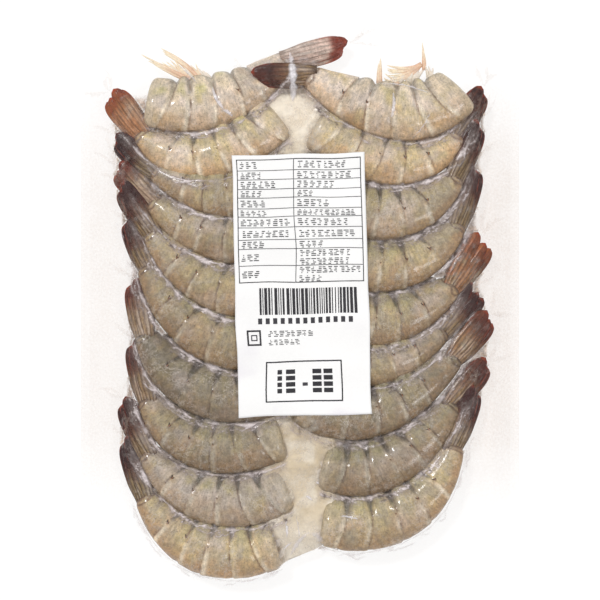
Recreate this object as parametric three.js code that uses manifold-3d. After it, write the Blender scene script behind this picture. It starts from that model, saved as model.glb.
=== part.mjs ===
// A sealed clear vacuum pack of nineteen raw headless whiteleg shrimp, lying flat with its label up.
//
// Millimetres, +Z up, +Y toward the top of the label. The origin is under the middle of the pack, on
// the surface that it lies on. The film is drawn tight over the food, so the pack is one solid with
// the relief of the shrimp: two columns of shell-on tails nested on their sides, frozen glaze between
// the columns, and the flat margins of the pouch all round. The paper label lies on the crests.

import * as THREE from 'three';
import { mergeVertices } from 'three/addons/utils/BufferGeometryUtils.js';
import Module from 'manifold-3d';

// ---- Driving dimensions ------------------------------------------------------------------------

// The pouch: two films sealed together round the food, drooping from mid-height to the outer edge.
const POUCH = {
  width: 200,
  length: 280,
  sheet: 0.8, // both films and the air-free glaze between them
  shoulder: 8, // height of the sheet where it leaves the food
  edge: 2.2, // height of its outer edge
  droopWidth: 16,
  foodWidth: 168,
  foodLength: 246,
  cellsAcross: 10,
  cellsAlong: 12,
};

// One shrimp tail on its side. Depth is measured from back to belly, thickness from flank to flank.
const SHRIMP = {
  depth: 26.5, // at the second and third segments
  deepestAt: 0.38, // share of the way from the cut end to the tail fan
  cutNarrowing: 0.17, // how much less deep the cut end is
  fanRoot: 10, // depth where the tail fan starts
  taperPower: 1.7,
  flatness: 0.71, // thickness over depth
  height: 9.1, // of the middle of the body above the ground
  leaveReach: 0.36, // share of the chord that the body keeps its direction at the cut end
  arriveReach: 0.46, // the same at the tail end
  sides: 10,
};

// The six shell segments from the cut end to the tail fan, as shares of the body's length.
const SEGMENTS = [0.13, 0.15, 0.155, 0.155, 0.155, 0.255];

// Half-depths and thickness along one segment: it starts tucked under the one before it and widens to
// its own rim, where its flap reaches furthest past the belly.
const SEGMENT_RINGS = [
  { along: 0.08, back: 0.95, belly: 0.86, thick: 0.92 },
  { along: 1.0, back: 1.02, belly: 1.05, thick: 1.02 },
];

// The folded tail fan: half-widths and half-heights from its root to its tip, and its ribs.
const FAN = {
  halfWidths: [4.6, 5.9, 3.2],
  halfHeights: [4.0, 3.0, 1.3],
  ribDepth: 0.12, // how far the grooves between the blades sink
  sides: 8,
  tipHeight: 8.4,
};

// Where each shrimp lies. cut, root and tip are the middles of the cut end and of the tail fan's root
// and tip. leave is the fall of the body at the cut end, in degrees below level; arrive is how far it
// still turns before it meets the fan. size scales the depth, and fanUp raises the fan's root.
const LAYOUT = {
  L0: { cut: [-69, 89], root: [-5, 109], tip: [22, 116], leave: 10, arrive: -26, size: 0.96, fanUp: -1 },
  L1: { cut: [-10, 83], root: [-72, 76], tip: [-86, 94], leave: 38, arrive: 6, size: 1.0, fanUp: 0 },
  L2: { cut: [-6, 58], root: [-66, 59], tip: [-84, 74], leave: 32, arrive: 14, size: 1.0, fanUp: 1 },
  L3: { cut: [-4, 33], root: [-67, 45], tip: [-83, 61], leave: 20, arrive: 8, size: 1.0, fanUp: 0 },
  L4: { cut: [-4, 7], root: [-67, 31], tip: [-81, 53], leave: 16, arrive: 6, size: 1.0, fanUp: 1 },
  L5: { cut: [-5, -18], root: [-69, 16], tip: [-78, 38], leave: 12, arrive: 4, size: 1.04, fanUp: 0 },
  L6: { cut: [-5, -38], root: [-70, -15], tip: [-75, 10], leave: 20, arrive: 14, size: 1.02, fanUp: 1 },
  L7: { cut: [-8, -61], root: [-69, -44], tip: [-75, -17], leave: 16, arrive: 16, size: 1.0, fanUp: 0 },
  L8: { cut: [-6, -84], root: [-69, -68], tip: [-80, -44], leave: 24, arrive: 12, size: 0.98, fanUp: 1 },
  L9: { cut: [-11, -109], root: [-70, -88], tip: [-79, -61], leave: 18, arrive: 16, size: 1.05, fanUp: 0 },
  R0: { cut: [72, 95], root: [4, 101], tip: [-22, 101], leave: 44, arrive: -34, size: 1.02, fanUp: 3 },
  R1: { cut: [7, 79], root: [71, 75], tip: [83, 96], leave: 30, arrive: 10, size: 1.0, fanUp: 0 },
  R2: { cut: [4, 51], root: [70, 56], tip: [81, 81], leave: 30, arrive: 12, size: 1.02, fanUp: 1 },
  R3: { cut: [4, 26], root: [71, 35], tip: [79, 62], leave: 30, arrive: 18, size: 1.02, fanUp: 0 },
  R4: { cut: [4, 0], root: [69, 7], tip: [83, 29], leave: 28, arrive: 16, size: 1.0, fanUp: 1 },
  R5: { cut: [3, -21], root: [65, -13], tip: [80, 7], leave: 26, arrive: 18, size: 0.96, fanUp: 0 },
  R6: { cut: [1, -44], root: [70, -25], tip: [86, -6], leave: 32, arrive: 8, size: 1.02, fanUp: 1 },
  R7: { cut: [10, -74], root: [69, -46], tip: [85, -27], leave: 16, arrive: -2, size: 1.0, fanUp: 0 },
  R8: { cut: [10, -99], root: [69, -65], tip: [79, -38], leave: 10, arrive: 0, size: 1.04, fanUp: 1 },
};

// The swimming legs that stand out above the two top shrimp: root and tip of each tuft.
const LEGS = [
  { root: [-38, 97], tip: [-72, 112], width: 2.4 },
  { root: [-36, 98], tip: [-63, 116], width: 2.0 },
  { root: [50, 98], tip: [36, 111], width: 3.2 },
  { root: [56, 96], tip: [55, 117], width: 2.6 },
];
const LEG = { halfHeight: 1.6, tipShare: 0.25, height: 8, sides: 6, rings: 3 };

// Frozen glaze: the bar that fills the gap between the columns.
const GLAZE_BAR = { x: -1, width: 34, top: 96, bottom: -119, height: 13, bevel: 3, corner: 8 };

// The paper label on the crests, slightly waved by what it lies on.
const LABEL = {
  x: 0.7,
  y: 6.8,
  turn: 1.4, // degrees, against the clock
  width: 59.5,
  length: 117,
  paper: 0.5,
  clearance: 0.4,
  wave: 0.35,
  waveLength: 26,
  cellsAcross: 2,
  cellsAlong: 18,
};

// Deeper than anything reaches below the surface that the pack lies on.
const GROUND_DEPTH = 30;

// ---- Solids from meshes ------------------------------------------------------------------------

const wasm = await Module();
wasm.setup();

// A three.js geometry as a solid, its shared corners merged.
function solidFrom(geometry) {
  const bare = geometry.index ? geometry.toNonIndexed() : geometry.clone();
  bare.deleteAttribute('normal');
  bare.deleteAttribute('uv');
  const merged = mergeVertices(bare, 1e-4);
  return new wasm.Manifold(new wasm.Mesh({
    numProp: 3,
    vertProperties: new Float32Array(merged.attributes.position.array),
    triVerts: new Uint32Array(merged.index.array),
  }));
}

// A solid back as a three.js geometry.
function geometryFrom(solid) {
  const mesh = solid.getMesh();
  const geometry = new THREE.BufferGeometry();
  geometry.setAttribute('position', new THREE.BufferAttribute(mesh.vertProperties, 3));
  geometry.setIndex(new THREE.BufferAttribute(mesh.triVerts, 1));
  geometry.computeVertexNormals();
  return geometry;
}

// ---- Swept bodies ------------------------------------------------------------------------------

const UP = new THREE.Vector3(0, 0, 1);

// A closed body along a curve. ringAt(i) gives the place of ring i along the curve, from 0 to 1, and
// section(i, across, rise) gives the offsets to the left of the curve and upward of a point whose
// angle round the body has the sine across and the cosine rise.
function sweep(curve, rings, sides, ringAt, section) {
  const geometry = new THREE.CylinderGeometry(1, 1, 1, sides, rings - 1);
  const position = geometry.attributes.position;
  const vertex = new THREE.Vector3();
  for (let v = 0; v < position.count; v += 1) {
    vertex.fromBufferAttribute(position, v);
    const ring = Math.round((0.5 - vertex.y) * (rings - 1));
    const along = ringAt(ring);
    const left = UP.clone().cross(curve.getTangentAt(along)).normalize();
    const offset = section(ring, vertex.x, vertex.z);
    const place = curve.getPointAt(along).addScaledVector(left, offset.left).addScaledVector(UP, offset.up);
    position.setXYZ(v, place.x, place.y, place.z);
  }
  return solidFrom(geometry);
}

const flat = ([x, y], z) => new THREE.Vector3(x, y, z);

// The direction in plan of a unit step, turned by an angle in degrees.
function turned(direction, degrees) {
  return direction.clone().applyAxisAngle(UP, THREE.MathUtils.degToRad(degrees));
}

// The middle line of one shrimp's body, from its cut end to the root of its tail fan.
function bodyLine(shrimp) {
  const cut = flat(shrimp.cut, SHRIMP.height);
  const root = flat(shrimp.root, SHRIMP.height + shrimp.fanUp);
  const side = Math.sign(root.x - cut.x);
  const chord = cut.distanceTo(root);
  const leaving = turned(new THREE.Vector3(side, 0, 0), -side * shrimp.leave);
  const fanWay = flat(shrimp.tip, 0).sub(flat(shrimp.root, 0)).normalize();
  const arriving = turned(fanWay, -side * shrimp.arrive);
  return new THREE.CubicBezierCurve3(
    cut,
    cut.clone().addScaledVector(leaving, chord * SHRIMP.leaveReach),
    root.clone().addScaledVector(arriving, -chord * SHRIMP.arriveReach),
    root,
  );
}

// Depth from back to belly at a share of the way along the body.
function depthAt(along) {
  if (along < SHRIMP.deepestAt) {
    return SHRIMP.depth * (1 - SHRIMP.cutNarrowing * (1 - along / SHRIMP.deepestAt) ** 2);
  }
  const past = (along - SHRIMP.deepestAt) / (1 - SHRIMP.deepestAt);
  return SHRIMP.fanRoot + (SHRIMP.depth - SHRIMP.fanRoot) * (1 - past ** SHRIMP.taperPower);
}

// Every ring of the body: its place along it and its share of the full depth and thickness.
function bodyRings() {
  const rings = [{ ...SEGMENT_RINGS[0], along: 0 }];
  let start = 0;
  SEGMENTS.forEach((share, segment) => {
    const own = segment === 0 ? SEGMENT_RINGS.slice(1) : SEGMENT_RINGS;
    own.forEach((ring) => rings.push({ ...ring, along: start + ring.along * share }));
    start += share;
  });
  rings.at(-1).along = 1;
  return rings;
}

function shrimpBody(shrimp) {
  const rings = bodyRings();
  const backIsLeft = shrimp.root[0] < shrimp.cut[0] ? 1 : -1;
  const section = (i, across, rise) => {
    const ring = rings[i];
    const halfDepth = (depthAt(ring.along) * shrimp.size) / 2;
    const towardBack = across * backIsLeft;
    const reach = towardBack > 0 ? ring.back : ring.belly;
    const thinning = towardBack > 0 ? 1 : 1 - 0.25 * towardBack ** 2;
    return {
      left: across * halfDepth * reach,
      up: rise * halfDepth * SHRIMP.flatness * ring.thick * thinning,
    };
  };
  return sweep(bodyLine(shrimp), rings.length, SHRIMP.sides, (i) => rings[i].along, section);
}

// The five blades of the fan are folded together, so it is one ribbed wedge.
function tailFan(shrimp) {
  const last = FAN.halfWidths.length - 1;
  const root = flat(shrimp.root, SHRIMP.height + shrimp.fanUp);
  const tip = flat(shrimp.tip, FAN.tipHeight + shrimp.fanUp);
  const start = root.clone().lerp(tip, -0.12);
  const section = (i, across, rise) => {
    const rib = 1 - FAN.ribDepth * Math.abs(Math.sin(2.5 * Math.atan2(across, rise)));
    return { left: across * FAN.halfWidths[i] * rib, up: rise * FAN.halfHeights[i] * rib };
  };
  return sweep(new THREE.LineCurve3(start, tip), last + 1, FAN.sides, (i) => i / last, section);
}

function leg({ root, tip, width }) {
  const start = flat(root, LEG.height);
  const end = flat(tip, LEG.height);
  const last = LEG.rings - 1;
  const section = (i, across, rise) => {
    const share = 1 - (1 - LEG.tipShare) * (i / last);
    return { left: across * width * share, up: rise * LEG.halfHeight * share };
  };
  return sweep(new THREE.LineCurve3(start, end), LEG.rings, LEG.sides, (i) => i / last, section);
}

// ---- The pouch, the glaze and the label --------------------------------------------------------

// A slab with round corners and bevelled edges, its lowest face at the height low.
function slab({ x, width, top, bottom, height, bevel, corner }, low) {
  const halfWidth = width / 2 - bevel;
  const high = top - bevel;
  const deep = bottom + bevel;
  const outline = new THREE.Shape();
  outline.moveTo(x + halfWidth, deep + corner);
  outline.lineTo(x + halfWidth, high - corner);
  outline.absarc(x + halfWidth - corner, high - corner, corner, 0, Math.PI / 2);
  outline.absarc(x - halfWidth + corner, high - corner, corner, Math.PI / 2, Math.PI);
  outline.absarc(x - halfWidth + corner, deep + corner, corner, Math.PI, 1.5 * Math.PI);
  outline.absarc(x + halfWidth - corner, deep + corner, corner, 1.5 * Math.PI, 2 * Math.PI);
  const geometry = new THREE.ExtrudeGeometry(outline, {
    depth: height - 2 * bevel,
    bevelThickness: bevel,
    bevelSize: bevel,
    bevelSegments: 1,
    curveSegments: 3,
  });
  return solidFrom(geometry.translate(0, 0, low + bevel));
}

// Height of the middle of the pouch's sheet at a place in plan.
function sheetHeight(x, y) {
  const beside = Math.max(Math.abs(x) - POUCH.foodWidth / 2, 0);
  const beyond = Math.max(Math.abs(y) - POUCH.foodLength / 2, 0);
  const away = Math.min(Math.hypot(beside, beyond) / POUCH.droopWidth, 1);
  return THREE.MathUtils.lerp(POUCH.shoulder, POUCH.edge, away * away * (3 - 2 * away));
}

function pouchSheet() {
  const { width, length, sheet, cellsAcross, cellsAlong } = POUCH;
  const geometry = new THREE.BoxGeometry(width, length, sheet, cellsAcross, cellsAlong, 1);
  const position = geometry.attributes.position;
  for (let v = 0; v < position.count; v += 1) {
    position.setZ(v, position.getZ(v) + sheetHeight(position.getX(v), position.getY(v)));
  }
  return solidFrom(geometry);
}

// A block whose top is the surface that the pack lies on, which flattens the underside.
function ground() {
  const block = new THREE.BoxGeometry(2 * POUCH.width, 2 * POUCH.length, GROUND_DEPTH);
  return solidFrom(block.translate(0, 0, -GROUND_DEPTH / 2));
}

function packSolid() {
  const pieces = [pouchSheet(), slab(GLAZE_BAR, 0)];
  for (const shrimp of Object.values(LAYOUT)) {
    pieces.push(shrimpBody(shrimp), tailFan(shrimp));
  }
  for (const tuft of LEGS) {
    pieces.push(leg(tuft));
  }
  return outerShell(pieces.reduce((whole, piece) => whole.add(piece)).subtract(ground()));
}

// The solid without the small hollows that its pieces shut in between them.
function outerShell(solid) {
  const shells = solid.decompose();
  return shells.reduce((largest, shell) => (shell.volume() > largest.volume() ? shell : largest));
}

function labelGeometry() {
  const { width, length, paper, cellsAcross, cellsAlong, wave, waveLength } = LABEL;
  const geometry = new THREE.BoxGeometry(width, length, paper, cellsAcross, cellsAlong, 1);
  const position = geometry.attributes.position;
  for (let v = 0; v < position.count; v += 1) {
    const ripple = wave * Math.cos((2 * Math.PI * position.getY(v)) / waveLength);
    position.setZ(v, position.getZ(v) + ripple);
  }
  return geometry;
}

// The middle of the label stands above the highest crest by its clearance, its waves and half its paper.
function labelHeight() {
  const largest = Math.max(...Object.values(LAYOUT).map((shrimp) => shrimp.size));
  const fullest = Math.max(...SEGMENT_RINGS.map((ring) => ring.thick));
  const crest = SHRIMP.height + (SHRIMP.depth * largest * SHRIMP.flatness * fullest) / 2;
  return crest + LABEL.clearance + LABEL.wave + LABEL.paper / 2;
}

// ---- The scene graph ---------------------------------------------------------------------------

const filmOverShrimp = new THREE.MeshStandardMaterial({ color: 0xa89a78, roughness: 0.3, metalness: 0 });
const whitePaper = new THREE.MeshStandardMaterial({ color: 0xf3f1ed, roughness: 0.55, metalness: 0 });

function namedMesh(name, geometry, material) {
  const mesh = new THREE.Mesh(geometry, material);
  mesh.name = name;
  return mesh;
}

const label = namedMesh('label', labelGeometry(), whitePaper);
label.position.set(LABEL.x, LABEL.y, labelHeight());
label.rotation.z = THREE.MathUtils.degToRad(LABEL.turn);

const shrimpPack = new THREE.Group();
shrimpPack.add(namedMesh('pack', geometryFrom(packSolid()), filmOverShrimp), label);

export default shrimpPack;
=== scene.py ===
"""A sealed clear vacuum pack of raw headless whiteleg shrimp, lying flat with its label up.

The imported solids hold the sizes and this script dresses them. It builds the nineteen tails, their
fans and legs, and the frozen glaze between them, draws the two films of the pouch tight over these,
and lays the printed label on top. Lengths are in millimetres until a piece is made.
"""

import itertools
import math

import bpy
import numpy as np
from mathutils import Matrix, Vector
from mathutils.bvhtree import BVHTree


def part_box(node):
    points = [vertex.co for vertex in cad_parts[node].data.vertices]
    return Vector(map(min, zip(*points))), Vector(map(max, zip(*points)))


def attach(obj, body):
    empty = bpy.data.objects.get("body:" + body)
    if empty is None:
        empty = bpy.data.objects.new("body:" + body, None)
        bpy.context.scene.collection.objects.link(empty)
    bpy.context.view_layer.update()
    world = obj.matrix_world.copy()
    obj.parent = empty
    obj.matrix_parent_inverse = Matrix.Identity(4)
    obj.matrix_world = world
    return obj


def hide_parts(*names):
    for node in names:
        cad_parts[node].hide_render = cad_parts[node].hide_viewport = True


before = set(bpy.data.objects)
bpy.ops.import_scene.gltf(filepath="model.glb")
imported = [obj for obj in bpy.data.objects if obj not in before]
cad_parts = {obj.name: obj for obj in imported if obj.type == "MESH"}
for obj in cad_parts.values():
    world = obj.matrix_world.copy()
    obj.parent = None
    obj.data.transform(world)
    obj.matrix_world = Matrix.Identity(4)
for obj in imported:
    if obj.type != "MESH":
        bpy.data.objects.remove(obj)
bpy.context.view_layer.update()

MM = 0.001


# ---- Sizes

# The body of one tail on its side. Depth runs from back to belly, thickness from flank to flank.
BODY_DEPTH = 26.5
DEEPEST_AT = 0.38
CUT_NARROWING = 0.17
FAN_ROOT_DEPTH = 10.0
TAPER_POWER = 1.7
FLATNESS = 0.71
BODY_HEIGHT = 9.1
LEAVE_REACH = 0.36
ARRIVE_REACH = 0.46
ROLL = math.radians(8)  # the back of each tail lies a little higher than its belly
SEGMENTS = (0.13, 0.15, 0.155, 0.155, 0.155, 0.255)
SEGMENT_SLANT = (0.045, 0.02, 0.005, 0.0, -0.005)  # of the rims: the belly end is nearer the fan
RIM_BOW = 0.018
BODY_RINGS = 150
BODY_SIDES = 60

FAN_TIP_HEIGHT = 8.6
FOOD_CLEARANCE = 0.3  # of the food above the surface that the pack lies on

# Where each tail lies: the middles of its cut end and of its fan's root and tip, the fall of the
# body at the cut end, how far it still turns before the fan, its size and the lift of its fan.
# light is how bright its flank is painted, partly its own tone and partly painted light that makes
# the top tails brightest; frost how much lilac frost is on it, amber how orange its fan is, spread
# how far the blades of the fan stand apart, and pale how little of the fan is dark.
COLUMNS = "cut root tip leave arrive size up light frost amber spread pale".split()
LAYOUT = {
    "L0": ((-69, 89), (-5, 109), (22, 116), 10, -26, 0.96, -2, 1.18, 1.0, 0.0, 0.1, 1.0),
    "L1": ((-10, 83), (-72, 76), (-86, 94), 38, 6, 1.00, 0, 1.26, 0.5, 0.7, 0.5, 0.75),
    "L2": ((-6, 58), (-66, 59), (-84, 74), 32, 14, 1.00, 1, 1.06, 0.4, 0.0, 0.2, 0.0),
    "L3": ((-4, 33), (-67, 45), (-83, 61), 20, 8, 1.00, 0, 0.98, 0.5, 0.2, 0.5, 0.5),
    "L4": ((-4, 7), (-67, 31), (-81, 53), 16, 6, 1.00, 1, 1.00, 0.2, 0.1, 0.2, 0.0),
    "L5": ((-5, -18), (-69, 16), (-78, 38), 12, 4, 1.04, 0, 0.95, 0.0, 0.1, 0.1, 0.0),
    "L6": ((-5, -38), (-70, -15), (-75, 10), 20, 14, 1.02, 1, 0.79, 0.5, 0.1, 0.1, 0.45),
    "L7": ((-8, -61), (-69, -44), (-75, -17), 16, 16, 1.00, 0, 0.91, 0.3, 0.15, 0.1, 0.2),
    "L8": ((-6, -84), (-69, -68), (-80, -44), 24, 12, 0.98, 1, 0.98, 0.9, 0.1, 0.1, 0.0),
    "L9": ((-11, -109), (-70, -88), (-79, -61), 18, 16, 1.05, 0, 1.12, 0.1, 0.0, 0.0, 0.0),
    "R0": ((72, 95), (4, 101), (-22, 101), 44, -34, 1.02, 3.2, 1.22, 0.9, 0.2, 0.0, 0.2),
    "R1": ((7, 79), (71, 75), (83, 96), 30, 10, 1.00, 0, 1.23, 0.4, 0.3, 0.1, 0.0),
    "R2": ((4, 51), (70, 56), (81, 81), 30, 12, 1.02, 1, 1.06, 0.6, 0.1, 0.1, 0.0),
    "R3": ((4, 26), (71, 35), (79, 62), 30, 18, 1.02, 0, 1.06, 0.2, 0.1, 0.2, 0.1),
    "R4": ((4, 0), (69, 7), (83, 29), 28, 16, 1.00, 1, 1.01, 0.3, 1.0, 0.8, 0.3),
    "R5": ((3, -21), (65, -13), (80, 7), 26, 18, 0.96, 0, 0.98, 0.4, 0.2, 0.9, 0.0),
    "R6": ((1, -44), (70, -25), (86, -6), 32, 8, 1.02, 1, 0.86, 0.0, 0.4, 0.4, 0.3),
    "R7": ((10, -74), (69, -46), (85, -27), 16, -2, 1.00, 0, 0.87, 0.1, 0.3, 0.2, 0.2),
    "R8": ((10, -99), (69, -65), (79, -38), 10, 0, 1.04, 1, 1.10, 0.4, 0.1, 0.1, 0.1),
}
TOP_TAILS = ("L0", "R0")  # their bellies face the open margin
LOW_TAILS = ("L9", "R8")  # their backs do

# The blades of a folded fan from the lowest to the highest: turn in degrees where the fan is spread,
# share of the fan's length, width, height above the fan's middle, and shift toward the back.
BLADES = (
    (-9, 0.95, 9.0, -1.7, -1.2),
    (10, 0.90, 8.2, -1.0, 2.0),
    (5, 0.80, 4.6, 0.2, 3.1),
    (3, 0.92, 7.0, 0.7, 1.2),
    (-4, 1.00, 8.0, 1.4, -1.5),
)
CLOSED_SPREAD = 0.2
BLADE_THICKNESS = 1.5
FAN_OVERLAP = 3.6  # of the blades on the end of the body

# The swimming legs above the two top tails. Each is a bundle of strands from one root to the tips
# between two ends: root, first end, last end, count, width and bow of a strand, and its tone.
LEGS = (
    ((49, 93), (50, 106), (56, 104), 4, 4.6, 0.5, "sheath"),
    ((45, 93), (42, 101), (48, 103), 4, 4.0, 0.6, "sheath"),
    ((58, 94), (56, 107), (60, 105), 3, 2.6, -0.6, "sheath"),
    ((-47, 95), (-61, 106), (-53, 106.5), 4, 4.6, -0.6, "sheath"),
    ((-40, 95), (-49, 105), (-42, 103.5), 4, 4.0, -0.4, "sheath"),
    ((-46, 98), (-66, 106), (-57, 109), 6, 1.9, 0.6, "comb"),
    ((-40, 98), (-56, 105.5), (-47, 107), 5, 1.7, 0.5, "comb"),
    ((-41, 98.5), (-28.5, 103.5), (-31, 101.5), 3, 2.4, -0.8, "comb"),
    ((-47.4, 99), (-71.5, 111.5), (-69, 108.5), 4, 2.2, 0.4, "comb"),
    ((-45.5, 100), (-62.6, 114), (-61, 111), 4, 2.4, -0.9, "comb"),
    ((55, 106.6), (39.5, 106.3), (41, 98.5), 13, 1.7, 1.4, "comb"),
    ((47, 97), (38, 102), (39, 97), 5, 1.6, 0.6, "comb"),
    ((36.0, 95), (36.7, 109.6), (35.4, 105), 4, 2.2, 0.1, "comb"),
    ((55.6, 104), (55.5, 116.3), (56.4, 111), 3, 1.7, 0.1, "comb"),
)
LEG_HEIGHT = 8.4

# The strips of folded legs along the bellies of the other tails.
STRIP_HALF_WIDTH, STRIP_HEIGHT, STRIP_RISE = 3.6, 6.4, 3.0

# Frozen glaze between the columns.
GLAZE_LOW, GLAZE_HIGH = 0.35, 12.2
GLAZE_LEFT, GLAZE_RIGHT = -21, 20
GLAZE_TOP, GLAZE_BOTTOM = 97, -118

# The pouch: its sheet leaves the food at the shoulder's height and droops to its outer edge.
SHOULDER, EDGE = 8.0, 2.2
FOOD_WIDTH, FOOD_LENGTH = 168, 246
DROOP_WIDTH = 16
SEAL_WIDTH = 4.4
FILM_STEP = 0.8
UNDER_STEP = 2.5
FILM_OFFSET = 0.15
FILM_RADIUS = 1.8  # of the ball that rolls over the food, as tight as the film bends
PAPER_RADIUS = 60  # the same for the label
PAPER_LIFT, PAPER_THICKNESS = 0.25, 0.1
GAP_RADIUS = 3.0  # of the ball that is too big for the small gaps between tails
WALL = 40.0  # a height well above the food, for the edges of those gaps
ABOVE_ALL, BELOW_ALL = 60.0, -40.0  # where the rays that find the food start

# White creases of the film, painted highlights where it is creased: first and last place, bend, half
# width and strength.
CREASES = (
    ((-4.4, 112), (-3.2, 89), 0.6, 2.2, 1.0),
    ((-39.3, 95.7), (-34, 85), -0.8, 1.1, 0.9),
    ((-34.5, 85), (-30, 82), 0.5, 1.2, 0.8),
    ((-53, 104), (-46, 97), 0.6, 0.5, 0.6),
    ((41.5, 93), (40.5, 81), 0.8, 1.0, 0.8),
    ((36, 97), (58, 92), 2.0, 0.7, 0.6),
    ((58, 84), (50, 72), 1.0, 0.5, 0.5),
    ((-6.4, -99), (-5.9, -107), 0.2, 0.7, 0.9),
    ((-1.8, -97), (-0.4, -108), 0.4, 0.4, 0.6),
    ((-7.4, -112.5), (-3.4, -109), 0.3, 0.6, 0.8),
    ((4.6, -104), (-4.4, -115.5), -1.2, 1.3, 0.6),
    ((2.6, -88), (5.4, -90), 0.2, 1.0, 0.8),
    ((7.0, -81.5), (8.6, -82.6), 0.1, 0.8, 0.9),
    ((5, -104.5), (10, -108.5), 0.6, 1.8, 0.5),
    ((18, -96.5), (26, -98), 0.4, 0.6, 0.9),
    ((-84, 36), (-79, 20), 1.5, 0.5, 0.3),
)

# The label, set by its solid: turned against the clock, with its marks in a frame of its own.
LABEL_TURN = math.radians(1.4)
LABEL_WIDTH, LABEL_LENGTH = 59.5, 117.0
INK_LIFT = 0.06
DASH_LEVELS, DASH_HEIGHT = (0.0, 0.28, 0.56, 0.84), 0.14  # as shares of the height of print

# The rows of its table from the top: height, reach of the marks in the left column, and the reach
# of each line of marks in the right column.
TABLE_ROWS = (
    (5.3, 10, (24,)),
    (4.1, 12, (24,)),
    (4.3, 18, (18,)),
    (3.9, 11, (8,)),
    (4.8, 12, (16,)),
    (3.7, 13, (26,)),
    (4.8, 23, (24,)),
    (5.5, 24, (27,)),
    (4.1, 12, (12,)),
    (7.4, 9, (23, 24)),
    (7.4, 9, (12, 28)),
)
TABLE_LEFT, TABLE_RIGHT, TABLE_TOP, TABLE_DIVIDER = -27.9, 28.0, 56.5, -2.5


# ---- Arrays: curves, noise and height maps

def mix(a, b, share):
    """From a at share 0 to b at share 1. Colours mix where share is a column."""
    return a + (np.asarray(b) - a) * share


def smooth(low, high, value):
    """0 below low, 1 above high, and a soft step between them."""
    t = np.clip((value - low) / (high - low), 0, 1)
    return t * t * (3 - 2 * t)


def bell(value, width):
    return np.exp(-((value / width) ** 2))


def rounded(value, reach):
    """A quarter circle that rises from 0 and is level from that reach on."""
    return np.sqrt(1 - (1 - np.clip(value / reach, 0, 1)) ** 2)


def lattice(x, y, z, seed):
    """A repeatable value from 0 to 1 for each corner of a lattice."""
    n = x * 374761393 + y * 668265263 + z * 1440662683 + seed * 1274126177
    n = (n ^ (n >> 13)) * 1103515245
    return ((n ^ (n >> 16)) & 0xFFFF) / 65535.0


def noise(points, size, seed):
    """Soft noise from 0 to 1 at each point, with features of that size."""
    scaled = np.asarray(points, float) / size
    corner = np.floor(scaled).astype(np.int64)
    part = scaled - corner
    part = part * part * (3 - 2 * part)
    total = np.zeros(len(scaled))
    for step in itertools.product((0, 1), repeat=3):
        weight = np.prod(np.where(step, part, 1 - part), axis=1)
        total += weight * lattice(*(corner + step).T, seed)
    return total


def rough(points, size, seed):
    """Noise with finer detail on it, from 0 to 1."""
    total = np.zeros(len(points))
    whole = 0.0
    for octave in range(3):
        weight = 0.55 ** octave
        total += weight * noise(points, size / 2 ** octave, seed + 31 * octave)
        whole += weight
    return total / whole


def veins(points, size, seed):
    """1 on thin winding lines and 0 away from them."""
    return smooth(0.06, 0, np.abs(rough(points, size, seed) - 0.5))


def column(values):
    return np.asarray(values)[:, None]


def places(*coordinates):
    """An array of points from their coordinates, each a list, a grid or one number for all."""
    return np.stack([part.ravel() for part in np.broadcast_arrays(*coordinates)], axis=1)


def blend(colour, other, share):
    """An array of colours, mixed with another by each point's own share."""
    return mix(colour, other, column(share))


def layered(colour, *layers):
    """Colours with others laid over them in turn, each by its share."""
    for other, share in layers:
        colour = blend(colour, other, share)
    return colour


def srgb(red, green, blue):
    return np.array((red, green, blue)) / 255.0


def linear(colour):
    """An sRGB colour as the light that it stands for."""
    c = np.clip(np.asarray(colour, float), 0, 1)
    return np.where(c <= 0.04045, c / 12.92, ((c + 0.055) / 1.055) ** 2.4)


def travelled(points):
    """The distance along a line of points to each of them."""
    return np.concatenate([[0], np.cumsum(np.linalg.norm(np.diff(points, axis=0), axis=1))])


def bezier(points, count):
    """Evenly spaced points along a cubic curve, its direction at each, and its length."""
    a, b, c, d = (np.asarray(p, float) for p in points)
    t = np.linspace(0, 1, 400)[:, None]
    dense = (1 - t) ** 3 * a + 3 * (1 - t) ** 2 * t * b + 3 * (1 - t) * t ** 2 * c + t ** 3 * d
    length = travelled(dense)
    even = np.linspace(0, length[-1], count)
    line = np.stack([np.interp(even, length, dense[:, k]) for k in range(3)], axis=1)
    way = np.gradient(line, axis=0)
    return line, way / np.linalg.norm(way, axis=1)[:, None], length[-1]


def turned(vector, angle):
    """A direction in plan, turned against the clock."""
    (x, y), cos, sin = vector, math.cos(angle), math.sin(angle)
    return np.array((x * cos - y * sin, x * sin + y * cos))


def unit(vector):
    return vector / np.linalg.norm(vector)


def left_of(way):
    """The level direction to the left of one way."""
    return np.array((-way[1], way[0], 0))


def leftward(ways):
    """The level direction to the left of each of many ways."""
    left = places(-ways[:, 1], ways[:, 0], 0)
    return left / np.linalg.norm(left, axis=1)[:, None]


def rolled(heights, step, radius, sign):
    """A height map widened by a ball of that radius: sign 1 raises it and -1 lowers it."""
    reach = int(math.ceil(3.2 * math.sqrt(radius) / step))
    wider = np.maximum if sign > 0 else np.minimum
    for axis in (0, 1):
        widened = heights.copy()
        for shift in range(-reach, reach + 1):
            fall = (shift * step) ** 2 / (2 * radius)
            widened = wider(widened, np.roll(heights, shift, axis) - sign * fall)
        heights = widened
    return heights


def drawn_tight(heights, step, radius):
    """The height of a film that spans the valleys as a ball of that radius bridges them."""
    return rolled(rolled(heights, step, radius, 1), step, radius, -1)


def blurred(heights, passes):
    for _ in range(passes):
        for axis in (0, 1):
            heights = (np.roll(heights, 1, axis) + 2 * heights + np.roll(heights, -1, axis)) / 4
    return heights


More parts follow.
